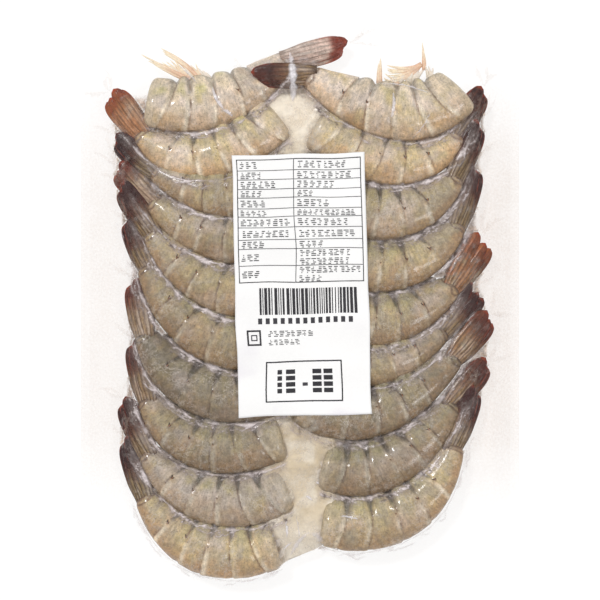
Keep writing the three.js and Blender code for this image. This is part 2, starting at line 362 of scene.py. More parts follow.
class HeightMap:
    """Heights on an even grid in plan, read at any place."""

    def __init__(self, x, y, heights):
        self.low = np.array((x[0, 0], y[0, 0]))
        self.step = np.array((x[0, 1] - x[0, 0], y[1, 0] - y[0, 0]))
        self.x, self.y, self.heights = x, y, heights

    def at(self, x, y):
        rows, columns = self.heights.shape
        across = np.clip((x - self.low[0]) / self.step[0], 0, columns - 1.001)
        along = np.clip((y - self.low[1]) / self.step[1], 0, rows - 1.001)
        c, r = np.floor(across).astype(int), np.floor(along).astype(int)
        right, up = across - c, along - r
        below = mix(self.heights[r, c], self.heights[r, c + 1], right)
        above = mix(self.heights[r + 1, c], self.heights[r + 1, c + 1], right)
        return mix(below, above, up)


# ---- Meshes

# What a vertex carries: its colour, the run of its fibres, and how opaque the film is there.
ATTRIBUTES = {
    "tint": ("FLOAT_COLOR", "color"),
    "fibre": ("FLOAT_VECTOR", "vector"),
    "milk": ("FLOAT", "value"),
}


class Surface:
    """Vertices, faces and values for each vertex, gathered before they become one mesh."""

    def __init__(self):
        self.points = []
        self.faces = []
        self.values = {}
        self.count = 0

    def add(self, points, faces, colour, **values):
        self.points.append(np.asarray(points, float))
        self.faces.extend((np.asarray(faces) + self.count).tolist())
        self.count += len(points)
        rgb = linear(np.broadcast_to(colour, (len(points), 3)))
        values["tint"] = np.concatenate([rgb, np.ones((len(points), 1))], axis=1)
        for name, value in values.items():
            self.values.setdefault(name, []).append(value)


def put(name, data):
    """A new object in the scene."""
    thing = bpy.data.objects.new(name, data)
    bpy.context.scene.collection.objects.link(thing)
    return thing


def make_piece(name, surface, material):
    """A mesh piece from a gathered surface, riding on the one body."""
    mesh = bpy.data.meshes.new(name)
    points = np.concatenate(surface.points) * MM
    mesh.from_pydata(points.tolist(), [], surface.faces)
    for key, parts in surface.values.items():
        kind, field = ATTRIBUTES[key]
        attribute = mesh.attributes.new(key, kind, "POINT")
        attribute.data.foreach_set(field, np.concatenate(parts).ravel())
    mesh.shade_smooth()
    mesh.materials.append(material)
    piece = put(name, mesh)
    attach(piece, "root")
    return piece


def make_single(name, material, points, faces, colour, **values):
    """A mesh piece of one part."""
    surface = Surface()
    surface.add(points, faces, colour, **values)
    return make_piece(name, surface, material)


def grid_of(rows, columns):
    """The two coordinates of a grid of places, as flat lists that run along its columns first."""
    return (part.ravel() for part in np.meshgrid(rows, columns, indexing="ij"))


def tube_faces(rings, sides):
    """Quads of a grid that closes round its sides."""
    ring, side = np.meshgrid(np.arange(rings - 1), np.arange(sides), indexing="ij")
    a = ring * sides + side
    b = ring * sides + (side + 1) % sides
    return np.stack([a, b, b + sides, a + sides], axis=-1).reshape(-1, 4)


def sheet_faces(rows, columns):
    """Quads of an open grid, facing up where its rows run up the plan and its columns right."""
    row, col = np.meshgrid(np.arange(rows - 1), np.arange(columns - 1), indexing="ij")
    a = row * columns + col
    return np.stack([a, a + 1, a + columns + 1, a + columns], axis=-1).reshape(-1, 4)


def slab_faces(rows, columns):
    """Quads that close a grid of points with a second grid below it, next in the list."""
    top = sheet_faces(rows, columns)
    count = rows * columns
    right = np.arange(2, rows) * columns - 1
    left = np.arange(rows - 2, 0, -1) * columns
    rim = np.concatenate([np.arange(columns), right, count - 1 - np.arange(columns), left])
    after = np.roll(rim, -1)
    walls = np.stack([rim, rim + count, after + count, after], axis=-1)
    return np.concatenate([top, top[:, ::-1] + count, walls])


def outward(points, faces):
    """The quads of a closed body, turned over where they face inward."""
    a, b, c, d = (points[faces[:, k]] for k in range(4))
    volume = np.einsum("ij,ij->", a, np.cross(b, c)) + np.einsum("ij,ij->", a, np.cross(c, d))
    return faces if volume > 0 else faces[:, ::-1]


def add_tube(surface, points, rings, sides, colour, fibre):
    """A tube whose ends are closed round their own middles."""
    first = np.tile(points[:sides].mean(0), (sides, 1))
    last = np.tile(points[-sides:].mean(0), (sides, 1))
    caps = mix(first, points[:sides], 0.02), mix(last, points[-sides:], 0.02)
    closed = np.vstack([caps[0], points, caps[1]])
    ends = [np.vstack([part[:sides], part, part[-sides:]]) for part in (colour, fibre)]
    faces = outward(closed, tube_faces(rings + 2, sides))
    surface.add(closed, faces, ends[0], fibre=ends[1])


# ---- Materials

class Finish:
    """A material under construction: its node tree, and the shader that its nodes feed."""

    def __init__(self, name, roughness, coat=0.0, gloss=0.5):
        self.material = bpy.data.materials.new(name)
        self.material.use_nodes = True
        self.tree = self.material.node_tree
        self.shader = next(n for n in self.tree.nodes if n.type == "BSDF_PRINCIPLED")
        self.feed(self.shader, {"Roughness": roughness, "Specular IOR Level": gloss})
        self.feed(self.shader, {"Coat Weight": coat, "Coat Roughness": 0.13})
        self.place = self.node("ShaderNodeTexCoord", "Object", {})

    def feed(self, node, inputs):
        """Sets inputs of a node, each to a number, a colour or the output of another node."""
        for key, value in inputs.items():
            if isinstance(value, bpy.types.NodeSocket):
                self.tree.links.new(value, node.inputs[key])
            else:
                node.inputs[key].default_value = value

    def node(self, kind, output, inputs, **settings):
        """One of a new node's outputs."""
        node = self.tree.nodes.new(kind)
        for key, value in settings.items():
            setattr(node, key, value)
        self.feed(node, inputs)
        return node.outputs[output]

    def attribute(self, name, output):
        return self.node("ShaderNodeAttribute", output, {}, attribute_name=name)

    def grain(self, scale, detail=4, rough=0.6, place=None):
        """Noise with that many features a metre, or for each unit of another place."""
        inputs = {"Scale": scale, "Detail": detail, "Roughness": rough}
        return self.node("ShaderNodeTexNoise", "Fac", {**inputs, "Vector": place or self.place})

    def spread(self, value, low, high, to_low, to_high):
        """A value between low and high, moved softly to another range."""
        inputs = {"From Min": low, "From Max": high, "To Min": to_low, "To Max": to_high}
        inputs["Value"] = value
        return self.node("ShaderNodeMapRange", "Result", inputs, interpolation_type="SMOOTHSTEP")

    def times(self, first, second):
        return self.node("ShaderNodeMath", "Value", {0: first, 1: second}, operation="MULTIPLY")

    def lines(self, value, width):
        """1 where noise crosses its middle and 0 away from there, as thin winding lines."""
        rising = self.spread(value, 0.5 - width, 0.5, 0, 1)
        return self.times(rising, self.spread(value, 0.5, 0.5 + width, 1, 0))

    def scaled(self, colour, factor):
        """A colour made lighter or darker by a number."""
        inputs = {0: colour, 1: factor}
        return self.node("ShaderNodeVectorMath", "Vector", inputs, operation="MULTIPLY")

    def blend(self, colour, other, factor):
        """A colour, mixed toward another by a mask."""
        inputs = {"Factor": factor, "A": colour, "B": (*linear(other), 1)}
        return self.node("ShaderNodeMix", "Result", inputs, data_type="RGBA")

    def relief(self, height, distance):
        inputs = {"Height": height, "Distance": distance}
        self.feed(self.shader, {"Normal": self.node("ShaderNodeBump", "Normal", inputs)})

    def colour(self, value):
        self.feed(self.shader, {"Base Color": value})


# Frost, and painted highlights where the film over the shell is wrinkled.
FROST_AND_GLINT = srgb(214, 203, 194)
DEEP = srgb(72, 54, 40)


def shell_finish(name, frost, fibres, coat, gloss):
    """Wet shell under film: mottled, fibrous, speckled, with frosty wrinkles that are partly painted
    highlights, and a gloss coat.
    """
    finish = Finish(name, 0.42, coat, gloss)
    tint = finish.attribute("tint", "Color")
    run = finish.attribute("fibre", "Vector")
    mottle = finish.spread(finish.grain(480, 3), 0.3, 0.7, 0.82, 1.18)
    threads = finish.spread(finish.grain(1.0, 3, 0.65, run), 0.3, 0.7, 1 - fibres, 1 + fibres)
    fine = finish.spread(finish.grain(1700, 3, 0.7), 0.3, 0.7, 0.86, 1.14)
    tint = finish.scaled(finish.scaled(finish.scaled(tint, mottle), threads), fine)
    specks = finish.spread(finish.grain(1250, 2), 0.60, 0.72, 0.0, 0.6)
    tint = finish.blend(tint, DEEP, specks)
    where = finish.spread(finish.grain(90, 3), 0.42, 0.64, 0.15 * frost, frost)
    # Thin whitish lines: partly frost, partly painted highlights on the wrinkles of the film.
    wrinkles = finish.lines(finish.grain(260, 6, 0.72), 0.022)
    tint = finish.blend(tint, FROST_AND_GLINT, finish.times(wrinkles, where))
    haze = finish.spread(finish.grain(640, 4, 0.7), 0.52, 0.75, 0.0, 0.5)
    tint = finish.blend(tint, FROST_AND_GLINT, finish.times(haze, where))
    finish.colour(tint)
    finish.relief(finish.grain(420, 5, 0.65), 0.0007)
    return finish.material


def plain_finish(name, roughness, scale, amount, relief, coat=0.0):
    """The mesh's own tint with fine grain in it."""
    finish = Finish(name, roughness, coat)
    grain = finish.grain(scale, 5)
    factor = finish.spread(grain, 0.3, 0.7, 1 - amount, 1 + amount)
    finish.colour(finish.scaled(finish.attribute("tint", "Color"), factor))
    finish.relief(grain, relief)
    return finish.material


def film_finish():
    """Clear film: nearly invisible where it lies on the food, milky where it spans a gap."""
    finish = Finish("clear_film", 0.2)
    finish.colour(finish.attribute("tint", "Color"))
    streaks = finish.spread(finish.grain(900, 4, 0.7), 0.3, 0.7, 0.75, 1.25)
    milk = finish.times(finish.attribute("milk", "Fac"), streaks)
    finish.feed(finish.shader, {"Alpha": milk})
    finish.relief(finish.grain(260, 4), 0.0005)
    return finish.material


# ---- Tails

OLIVE = srgb(168, 150, 110)
GREY = srgb(157, 142, 116)
TAN = srgb(168, 139, 101)
LILAC = srgb(181, 167, 157)
PLEURA = srgb(162, 153, 106)
# Painted shade in the gaps between the flaps of the belly and along its edge.
PAINTED_GAP_SHADE = srgb(80, 78, 64)
BACK = srgb(148, 116, 82)
RIM_LINE = srgb(92, 66, 46)
RIM_PALE = srgb(198, 187, 168)
# Painted shade along the edge of the back.
BACK_EDGE_SHADE = srgb(104, 76, 54)
KNOB = srgb(54, 34, 22)
KNOB_AMBER = srgb(150, 98, 56)
FLESH = srgb(198, 181, 152)
BELLY_LEGS = srgb(104, 92, 74)
BELLY_LEGS_PALE = srgb(170, 154, 132)


class Tail:
    """One tail of the layout, lying on its side."""

    def __init__(self, name):
        self.name = name
        for key, value in zip(COLUMNS, LAYOUT[name]):
            setattr(self, key, np.array(value, float) if key in ("cut", "root", "tip") else value)
        self.open_belly = name in TOP_TAILS
        self.side = math.copysign(1, self.root[0] - self.cut[0])  # where the fan is: 1 at the right
        self.back_side = -self.side  # 1 where the back is to the left of the way to the fan
        self.fan_length = np.linalg.norm(self.tip - self.root)
        self.fan_way = (self.tip - self.root) / self.fan_length

    def line(self, count):
        """The middle line of the body from its cut end to its fan: places, ways and length."""
        chord = np.linalg.norm(self.root - self.cut)
        leaving = turned((self.side, 0), -self.side * math.radians(self.leave))
        arriving = turned(self.fan_way, -self.side * math.radians(self.arrive))
        after_cut = self.cut + chord * LEAVE_REACH * leaving
        before_root = self.root - chord * ARRIVE_REACH * arriving
        low, high = BODY_HEIGHT, BODY_HEIGHT + self.up
        return bezier(((*self.cut, low), (*after_cut, low), (*before_root, high),
                       (*self.root, high)), count)

    def half_depth(self, along):
        """Half the depth of the body at shares of its length."""
        before = 1 - CUT_NARROWING * (1 - np.minimum(along, DEEPEST_AT) / DEEPEST_AT) ** 2
        past = np.clip((along - DEEPEST_AT) / (1 - DEEPEST_AT), 0, 1)
        after = FAN_ROOT_DEPTH + (BODY_DEPTH - FAN_ROOT_DEPTH) * (1 - past ** TAPER_POWER)
        return np.where(along < DEEPEST_AT, BODY_DEPTH * before, after) * self.size / 2


class Flank:
    """Where each point of a body's skin is: on which segment, how near its rims, back or belly."""

    def __init__(self, length, seed):
        draw = np.random.default_rng(seed)
        turn = np.linspace(0, 2 * math.pi, BODY_SIDES, endpoint=False)
        self.along, turn = grid_of(np.linspace(0, 1, BODY_RINGS), turn)
        angle = turn + 0.35 * np.cos(turn)  # closer together on the side that faces up
        self.back, self.rise = np.cos(angle), np.sin(angle)
        edges = [np.full_like(self.along, -1e-6)]
        for rim, slant in zip(np.cumsum(SEGMENTS)[:-1], SEGMENT_SLANT):
            slant = slant + draw.uniform(-0.016, 0.016)
            bow = RIM_BOW * (1 - self.back ** 2) + draw.uniform(-0.012, 0.012)
            edges.append(rim - slant * self.back + bow)
        edges.append(np.ones_like(self.along))
        edges = np.stack(edges)
        self.index = (self.along > edges[1:-1]).sum(axis=0)
        low = np.take_along_axis(edges, self.index[None], 0)[0]
        high = np.take_along_axis(edges, self.index[None] + 1, 0)[0]
        self.past = (self.along - low) * length
        self.before = (high - self.along) * length
        self.shelled = self.index < 5  # all but the last segment, which has no flaps
        self.belly = np.clip(-self.back, 0, 1)
        self.own = draw.uniform(-1, 1, (6, 4))[self.index].T  # four numbers of each segment's own
        off_middle = 2 * (self.along - low) / (high - low) - 1 + 0.08 * self.own[0]
        flap = np.where(self.index == 0, np.maximum(off_middle, 0), np.abs(off_middle))
        self.flap = np.where(self.shelled, flap, 0)
        hollow = (0.78 + 0.1 * self.own[1]) * self.belly ** 1.5
        arch = np.sqrt(np.clip(1 - hollow, 0, 1))
        self.gap = smooth(arch - 0.2, arch + 0.1, self.flap) * smooth(0.08, 0.5, self.belly)
        self.gap *= self.shelled
        self.skin = places(self.along * length, angle * 10, 50.0 * seed)


def body_points(tail, flank, line, way, seed):
    """The skin: shells that step down at every rim, and flaps that hang past the belly as lobes."""
    step = 0.97 + 0.03 * smooth(0, 2.8, flank.past) + 0.01 * bell(flank.before - 0.8, 0.9)
    step = np.where(flank.index == 0, mix(0.7, 1.0, rounded(flank.past, 3.2)), step)
    step = np.where(flank.index == 5, mix(0.72, 1.0, rounded(flank.before, 3.0)), step)
    notch = 0.17 if tail.open_belly else 0.30
    lobe = 1.10 + 0.03 * flank.own[2] - notch * np.clip(flank.flap, 0, 1.1) ** 2.4
    reach = mix(1.0, np.where(flank.shelled, lobe, 1.02), smooth(0.1, 0.9, flank.belly))
    swells, lumps = noise(flank.skin, 10, seed), noise(flank.skin, 3.5, seed + 1)
    uneven = 1 + 0.06 * (swells - 0.5) + 0.025 * (lumps - 0.5)
    half_depth = tail.half_depth(flank.along) * step * uneven
    aside = flank.back * half_depth * reach
    thin = (1 - 0.30 * flank.belly ** 2) * (1 - 0.10 * flank.gap)
    lift = np.sign(flank.rise) * np.abs(flank.rise) ** 0.78 * half_depth * FLATNESS * thin
    outward_by = aside * math.cos(ROLL)
    upward_by = lift * math.cos(ROLL) + aside * math.sin(ROLL)
    ring = np.repeat(np.arange(BODY_RINGS), BODY_SIDES)
    points = line[ring] + leftward(way)[ring] * column(outward_by * tail.back_side)
    points[:, 2] = np.maximum(points[:, 2] + upward_by, FOOD_CLEARANCE)
    return points


def body_tint(tail, flank, points, seed):
    """Olive and tan flanks, brown backs, yellow-green flaps and pale rims, with painted shade at
    gaps and edges.
    """
    bent = flank.skin + 3 * column(noise(points, 5, seed + 2) - 0.5)
    streaks = rough(bent * (1, 0.35, 1), 3.2, seed + 5)
    patches = rough(points, 9, seed)
    clouds = rough(bent, 4.0, seed + 3)
    grain = rough(points, 1.4, seed + 7)
    last = flank.index == 5
    frost = smooth(0.42, 0.70, patches + 0.4 * (tail.frost - 0.5) + 0.06 * flank.own[3])
    green = smooth(0.05, 0.55, flank.belly) * smooth(0.85, 0.25, flank.flap) * flank.shelled
    green *= 1 - 0.75 * tail.frost * smooth(0.3, 0.55, patches)
    brown = smooth(-0.1, 0.9, flank.back + 0.8 * (clouds - 0.5) + 0.5 * (patches - 0.5))
    # How strong that painted shade is: half where the belly faces the open margin.
    gap_shade_strength = 0.5 if tail.open_belly else 1.0
    pale = bell(flank.before - 1.0, 1.1) * flank.shelled * smooth(0.45, -0.1, flank.belly)
    seam = bell(flank.past - 0.2, 0.5) * (flank.index > 0)
    seam *= smooth(0.35, 0.65, noise(points, 4, seed + 9))
    wrist = bell(flank.before - 2.2 - 2.4 * (noise(points, 3, seed + 4) - 0.5), 0.45) * last
    wrist = np.maximum(wrist, smooth(1.6, 0.4, flank.before) * last)
    hinge = bell(flank.before - 0.5, 2.2) * bell(flank.back, 0.16) * (flank.index > 1)
    colour = layered(
        mix(OLIVE, GREY, column(smooth(0.35, 0.65, streaks))),
        (TAN, smooth(0.45, 0.75, 0.7 * patches + 0.3 * clouds) * 0.8),
        (LILAC, frost * (0.5 + 0.5 * streaks)),
        (PLEURA, green * (0.35 + 0.25 * flank.own[2] + 0.6 * streaks)),
        (BACK, brown * (0.6 + 0.5 * streaks) * (1 - 0.4 * frost)),
        # Painted shade: dark in the gaps between the flaps and along the belly's edge.
        (PAINTED_GAP_SHADE, flank.gap * (0.5 + 0.5 * clouds) * gap_shade_strength),
        (PAINTED_GAP_SHADE, smooth(0.84, 0.99, flank.belly) * flank.shelled * 0.6 * gap_shade_strength),
        (RIM_PALE, pale * smooth(0.32, 0.6, 0.5 * streaks + 0.5 * clouds) * 0.85),
        (RIM_LINE, seam * (0.35 + 0.45 * smooth(0.9, 0.2, np.abs(flank.back)))),
        (RIM_LINE, wrist * 0.9),
        (BACK, hinge * flank.shelled * 0.5),
        # Painted shade: the back darkened along its edge, where it turns down.
        (BACK_EDGE_SHADE, smooth(0.93, 0.99, flank.back) * (0.3 + 0.6 * grain)),
    )
    # Each tail's light scales its flank's colour: partly its own tone, partly painted light.
    colour = colour * column(tail.light * (0.88 + 0.24 * clouds + 0.05 * flank.own[3]))
    return blend(colour, FLESH, smooth(4 + 8 * clouds, 0.4, flank.past) * (flank.index == 0) * 0.65)


def add_knob(surface, centre, way, long, short, colour):
    """A small flattened ball, longer along one way."""
    rows, sides = 5, 8
    turn = np.linspace(0, 2 * math.pi, sides, endpoint=False)
    height, turn = grid_of(np.linspace(-1.4, 1.4, rows), turn)
    points = centre + column(np.cos(height) * np.cos(turn) * long) * way
    points = points + column(np.cos(height) * np.sin(turn) * short) * left_of(way)
    points[:, 2] += np.sin(height) * 0.3
    add_tube(surface, points, rows, sides, np.tile(colour, (len(points), 1)), points)


def add_hinges(surface, grid):
    """Dark forked marks, open toward the belly, where the rims of the last segments are hinged."""
    middle = BODY_SIDES // 4
    for rim, size in zip(np.cumsum(SEGMENTS)[2:5], (0.45, 0.85, 1.0)):
        ring = int(round((rim + RIM_BOW) * (BODY_RINGS - 1)))
        spot = grid[ring, middle]
        way = unit((grid[ring, middle + 3] - grid[ring, middle - 3]) * (1, 1, 0))
        add_knob(surface, spot + 0.5 * size * way, way, 0.75 * size, 0.4 * size, KNOB_AMBER)
        for lean, long in ((0.5, 1.15), (-0.55, 0.75)):
            fork = unit(way + left_of(way) * lean)
            place = spot + fork * 0.8 * long * size
            add_knob(surface, place, fork, long * size, 0.26 * size, KNOB)


def tail_body(tail, seed, material):
    line, way, length = tail.line(BODY_RINGS)
    flank = Flank(length, seed)
    points = body_points(tail, flank, line, way, seed)
    tint = body_tint(tail, flank, points, seed)
    surface = Surface()
    add_tube(surface, points, BODY_RINGS, BODY_SIDES, tint, flank.skin * (1.1, 0.25, 1))
    add_hinges(surface, points.reshape(BODY_RINGS, BODY_SIDES, 3))
    return make_piece(f"tail_{tail.name}", surface, material)


def belly_legs(tail, seed, material):
    """The swimming legs, folded into a lumpy strip between the belly and the next tail's back."""
    rings, sides, keep = 70, 14, slice(2, 66)
    line, way, _ = tail.line(rings)
    along = np.linspace(0, 1, rings)[keep]
    line, left = line[keep], leftward(way)[keep]
    lobes = 1 + 0.22 * np.cos(along * 2 * math.pi / SEGMENTS[2]) * smooth(0.72, 0.6, along)
    lobes *= np.sqrt(np.clip(1 - np.abs(np.linspace(-1, 1, len(along))) ** 6, 0.02, 1))
    angle = np.linspace(0, 2 * math.pi, sides, endpoint=False)
    offset = -(tail.half_depth(along) + 0.6) * tail.back_side
    aside = STRIP_HALF_WIDTH * np.outer(lobes, np.cos(angle)) + column(offset)
    points = line[:, None, :] + left[:, None, :] * aside[..., None]
    points[..., 2] = STRIP_HEIGHT + STRIP_RISE * np.outer(lobes, np.sin(angle))
    points = points.reshape(-1, 3)
    pale = smooth(0.45, 0.75, rough(points, 2.2, seed))
    surface = Surface()
    tint = mix(BELLY_LEGS, BELLY_LEGS_PALE, column(pale))
    add_tube(surface, points, len(along), sides, tint, points)
    return make_piece(f"belly_legs_{tail.name}", surface, material)


# ---- Tail fans and standing legs

FAN_TAN = srgb(136, 116, 84)
FAN_GREY = srgb(148, 134, 114)
FAN_PINK = srgb(222, 194, 180)
FAN_TIP = srgb(124, 52, 38)
FAN_DARK = srgb(78, 42, 34)
FAN_BLACK = srgb(44, 18, 22)
FAN_RED = srgb(158, 62, 38)
FAN_AMBER = srgb(168, 98, 52)
FAN_VEIN = srgb(62, 40, 28)
FAN_BLOOM = srgb(212, 196, 186)
LEG_TONES = {
    "comb": (srgb(226, 180, 148), srgb(250, 234, 206)),
    "sheath": (srgb(206, 190, 160), srgb(240, 228, 214)),
}


def lens(line, side, half_width, thickness, columns):
    """A closed thin blade along a line: points, faces, and each one's way along, across and up."""
    rows = len(line)
    t, e = grid_of(np.linspace(0, 1, rows), np.linspace(-1, 1, columns))
    crown = 0.02 + thickness / 2 * np.sqrt(1 - e ** 2) * np.minimum(1, 3 * np.sqrt(1.02 - t))
    flat = np.repeat(line, columns, axis=0) + side * column(e * np.repeat(half_width, columns))
    points = np.concatenate([flat, flat])
    top = np.repeat([1, 0], rows * columns)
    points[:, 2] += np.where(top, 1, -1) * np.tile(crown, 2)
    return points, outward(points, slab_faces(rows, columns)), np.tile(t, 2), np.tile(e, 2), top


def blade_tint(tail, points, along, over, seed):
    """Tan with dark lengthwise veins, near black toward the tip, and a red rim round the end."""
    pale, off = tail.pale, np.abs(over)
    patches = rough(points, 3.5, seed)
    streak = noise(places(along * 3, over * 5, seed), 1.0, seed + 5)
    reached = along - 0.3 * pale + 0.3 * (patches - 0.5)
    grey = smooth(0.4, 0.62, streak) * (1 - 0.7 * pale)
    bloom = smooth(0.45 - 0.2 * pale, 0.7, streak) * smooth(0.8, 0.3, reached)
    orange = tail.amber * smooth(0.3, 0.55, patches + 0.1)
    vein = bell(over - 0.05, 0.08) + bell(off - 0.5, 0.06) + smooth(0.78, 0.92, off)
    vein = np.clip(vein + smooth(0.1, 0.02, along), 0, 1) * smooth(1.0, 0.6, along)
    rim = np.maximum(smooth(0.8, 0.98, off) * smooth(0.5, 0.75, along), smooth(0.93, 0.98, along))
    return layered(
        mix(mix(FAN_TAN, FAN_PINK, pale ** 2), FAN_GREY, column(grey)),
        (FAN_BLOOM, bloom * (0.3 + 0.5 * pale)),
        (FAN_DARK, smooth(0.3, 0.58, reached) * (1 - 0.8 * pale)),
        (FAN_BLACK, smooth(0.5, 0.72, reached)),
        (FAN_TIP, smooth(0.7, 0.82, along) * pale),
        (FAN_AMBER, orange * (0.55 + 0.35 * (over > 0))),
        (FAN_VEIN, vein * (0.8 - 0.5 * pale)),
        (FAN_RED, rim * smooth(0.25, 0.65, rough(points, 2, seed + 3)) * 0.9),
    )


def add_blade(surface, tail, start, way, length, width, lift, seed):
    """One blade of a fan, ribbed along its length."""
    rows, columns = 30, 13
    t = np.linspace(0, 1, rows)
    lying_over = max(tail.up - 1, 0)  # of a fan whose tip rests on another tail
    first = np.array((*start, BODY_HEIGHT + tail.up + 1.3 * lift + 0.8))
    tip_height = FAN_TIP_HEIGHT + tail.up + lying_over + lift * 0.5
    last = np.array((*(start + way * length), tip_height))
    line = first + t[:, None] * (last - first)
    outline = np.sqrt(np.clip(1 - t ** 6.5, 0, 1)) * (0.68 + 0.32 * smooth(0, 0.4, t))
    half_width = np.maximum(width / 2 * outline, 0.12)
    points, faces, along, over, top = lens(line, left_of(way), half_width, BLADE_THICKNESS, columns)
    side_ribs = 0.25 * bell(over + 0.5, 0.1) + 0.25 * bell(over - 0.5, 0.1)
    points[:, 2] += (0.45 * bell(over - 0.05, 0.16) + side_ribs) * top * smooth(1.0, 0.8, along)
    fibre = places(over * width * 1.2, along * length * 0.2, seed)
    surface.add(points, faces, blade_tint(tail, points, along, over, seed), fibre=fibre)


def tail_fan(tail, seed, material):
    way, length, side = tail.fan_way, tail.fan_length, tail.back_side
    backward = left_of(way)[:2] * side
    apart = mix(CLOSED_SPREAD, 1.0, tail.spread)
    surface = Surface()
    for number, (turn, share, width, lift, shift) in enumerate(BLADES):
        start = tail.root - way * FAN_OVERLAP + backward * shift
        aim = turned(way, math.radians(turn) * apart * side) * length
        aim = unit(aim - backward * shift * 0.6 * (1 - apart))
        reach = (length + FAN_OVERLAP) * share
        add_blade(surface, tail, start, aim, reach, width, lift, seed + number)
    return make_piece(f"fan_{tail.name}", surface, material)


def standing_legs(material):
    """Bundles of fine curved strands, darker at the root and pale at the tips."""
    surface = Surface()
    draw = np.random.default_rng(5)
    t = np.linspace(0, 1, 18)
    for root, first, last, count, width, bow, tone in LEGS:
        dark, light = LEG_TONES[tone]
        for share in np.linspace(0, 1, count):
            start = np.array((*root, LEG_HEIGHT)) + draw.uniform(-0.5, 0.5, 3) * (1, 1, 0.4)
            end = np.array((*mix(np.array(first, float), last, share), LEG_HEIGHT - 0.1))
            end = end + draw.uniform(-0.5, 0.5, 3) * (1, 1, 0.3)
            side = left_of(unit(end - start))
            bend = (bow + draw.uniform(-0.5, 0.5)) * np.sin(t * math.pi)
            line = start + t[:, None] * (end - start) + side * bend[:, None]
            half_width = width / 2 * (1 - t) ** 0.7 * (0.6 + 0.4 * smooth(0, 0.2, t)) + 0.1
            points, faces, along, over, _ = lens(line, side, half_width, 0.7, 7)
            pale = smooth(0.1, 1.0, along + 0.6 * (rough(points, 1.6, 400) - 0.5))
            pale = np.clip(pale + 0.4 * bell(over, 0.3), 0, 1)
            surface.add(points, faces, mix(dark, light, column(pale)), fibre=points)
    return make_piece("standing_legs", surface, material)


# ---- Glaze

GLAZE_CREAM = srgb(222, 204, 174)
GLAZE_WHITE = srgb(238, 228, 212)
GLAZE_SHADE = srgb(200, 181, 150)


def glaze(material):
    """The bar of frozen water between the columns: lumpy, high beside the tails, round-ended."""
    rows, columns = 180, 36
    share, reach = grid_of(np.linspace(0, 1, rows), np.linspace(0, 1, columns))
    length = GLAZE_TOP - GLAZE_BOTTOM
    up, down = (1 - share) * length, share * length
    left = mix(-9, GLAZE_LEFT, smooth(0, 26, down)) + 12 * (1 - smooth(0, 14, up))
    right = mix(-4, GLAZE_RIGHT, rounded(down, 30)) - 12 * (1 - smooth(0, 14, up))
    x = mix(left, right, reach)
    y = GLAZE_BOTTOM + down + 5.0 * bell(down, 8) * (reach - 0.5)
    plan = places(x, y, 0)
    end = smooth(0, 12, up) * smooth(0, 14, down)
    side = smooth(0, 0.16, reach) * smooth(1, 0.84, reach)
    meniscus = 2.6 * np.clip(np.abs(x) / 18, 0, 1) ** 2
    lumps = 1.8 * (rough(plan, 9, 52) - 0.5)
    high = mix(SHOULDER, GLAZE_HIGH + lumps + meniscus, end * (0.3 + 0.7 * side))
    low = np.where((side > 0.5) & (end > 0.5), GLAZE_LOW, 4.0)
    points = np.concatenate([places(x, y, high), places(x, y, low)])
    colour = layered(
        mix(GLAZE_CREAM, GLAZE_SHADE, column(smooth(0.5, 0.25, rough(plan, 7, 54)) * 0.8)),
        (GLAZE_WHITE, smooth(0.5, 0.7, rough(plan, 5, 53)) * 0.7),
        (GLAZE_WHITE, np.maximum(smooth(28, 8, down), smooth(46, 12, up)) * 0.8),
    )
    colour = np.tile(colour * column(1 + 0.07 * smooth(46, 12, up)), (2, 1))
    faces = outward(points, slab_faces(rows, columns))
    return make_single("frozen_glaze", material, points, faces, colour)


# ---- Pouch

FILM_CLEAR = srgb(226, 220, 214)
FILM_DULL = srgb(176, 162, 156)
FILM_WHITE = srgb(226, 219, 222)
FILM_MARGIN = srgb(214, 188, 167)
# Partly frozen water and wrinkled film, partly painted shade in the small gaps between tails.
GAP_ICE_AND_SHADE = srgb(142, 124, 110)  # of frozen water and wrinkled film in small gaps between tails
# Painted highlights on the creases of the film.
CREASE_PAINTED_HIGHLIGHT = srgb(242, 237, 240)
# Painted highlights on the ridges of the film in the valleys.
VALLEY_PAINTED_HIGHLIGHT = srgb(228, 216, 216)
# Painted shade in the crumpled film of the valleys.
VALLEY_PAINTED_SHADE = srgb(92, 80, 78)
# Painted shade of the folds in the margins.
FOLD_PAINTED_SHADE = srgb(206, 184, 168)


def sheet_height(x, y):
    """Height of the pouch's flat margin."""
    beside = np.maximum(np.abs(x) - FOOD_WIDTH / 2, 0)
    beyond = np.maximum(np.abs(y) - FOOD_LENGTH / 2, 0)
    return mix(SHOULDER, EDGE, smooth(0, DROOP_WIDTH, np.hypot(beside, beyond)))


def margin_milk(x, y):
    """How milky the flat margin is: most beside the food, and clear toward the top and bottom."""
    beside = smooth(60, 88, np.abs(x)) * (1 + 0.2 * np.sign(x))
    return 0.02 + 0.13 * beside * smooth(-105, -50, y) * smooth(112, 45, y)


def seal_share(x, y):
    """1 on the seals along the pouch's edges and 0 inside them."""
    outer, inner = SEAL_WIDTH + 0.4, SEAL_WIDTH - 0.4
    sides = smooth(outer, inner, x.max() - np.abs(x))
    return np.maximum(sides, smooth(outer, inner, y.max() - np.abs(y)))


def plan_grid(step):
    low, high = (np.array(corner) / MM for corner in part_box("pack"))
    columns, rows = (int(round((high[k] - low[k]) / step)) + 1 for k in (0, 1))
    across, along = np.linspace(low[0], high[0], columns), np.linspace(low[1], high[1], rows)
    return np.meshgrid(across, along)


def food_tree(pieces):
    """All the food as one tree of faces, in millimetres."""
    points, faces = [], []
    for piece in pieces:
        start = len(points)
        points.extend(vertex.co / MM for vertex in piece.data.vertices)
        faces.extend([k + start for k in polygon.vertices] for polygon in piece.data.polygons)
    return BVHTree.FromPolygons(points, faces)


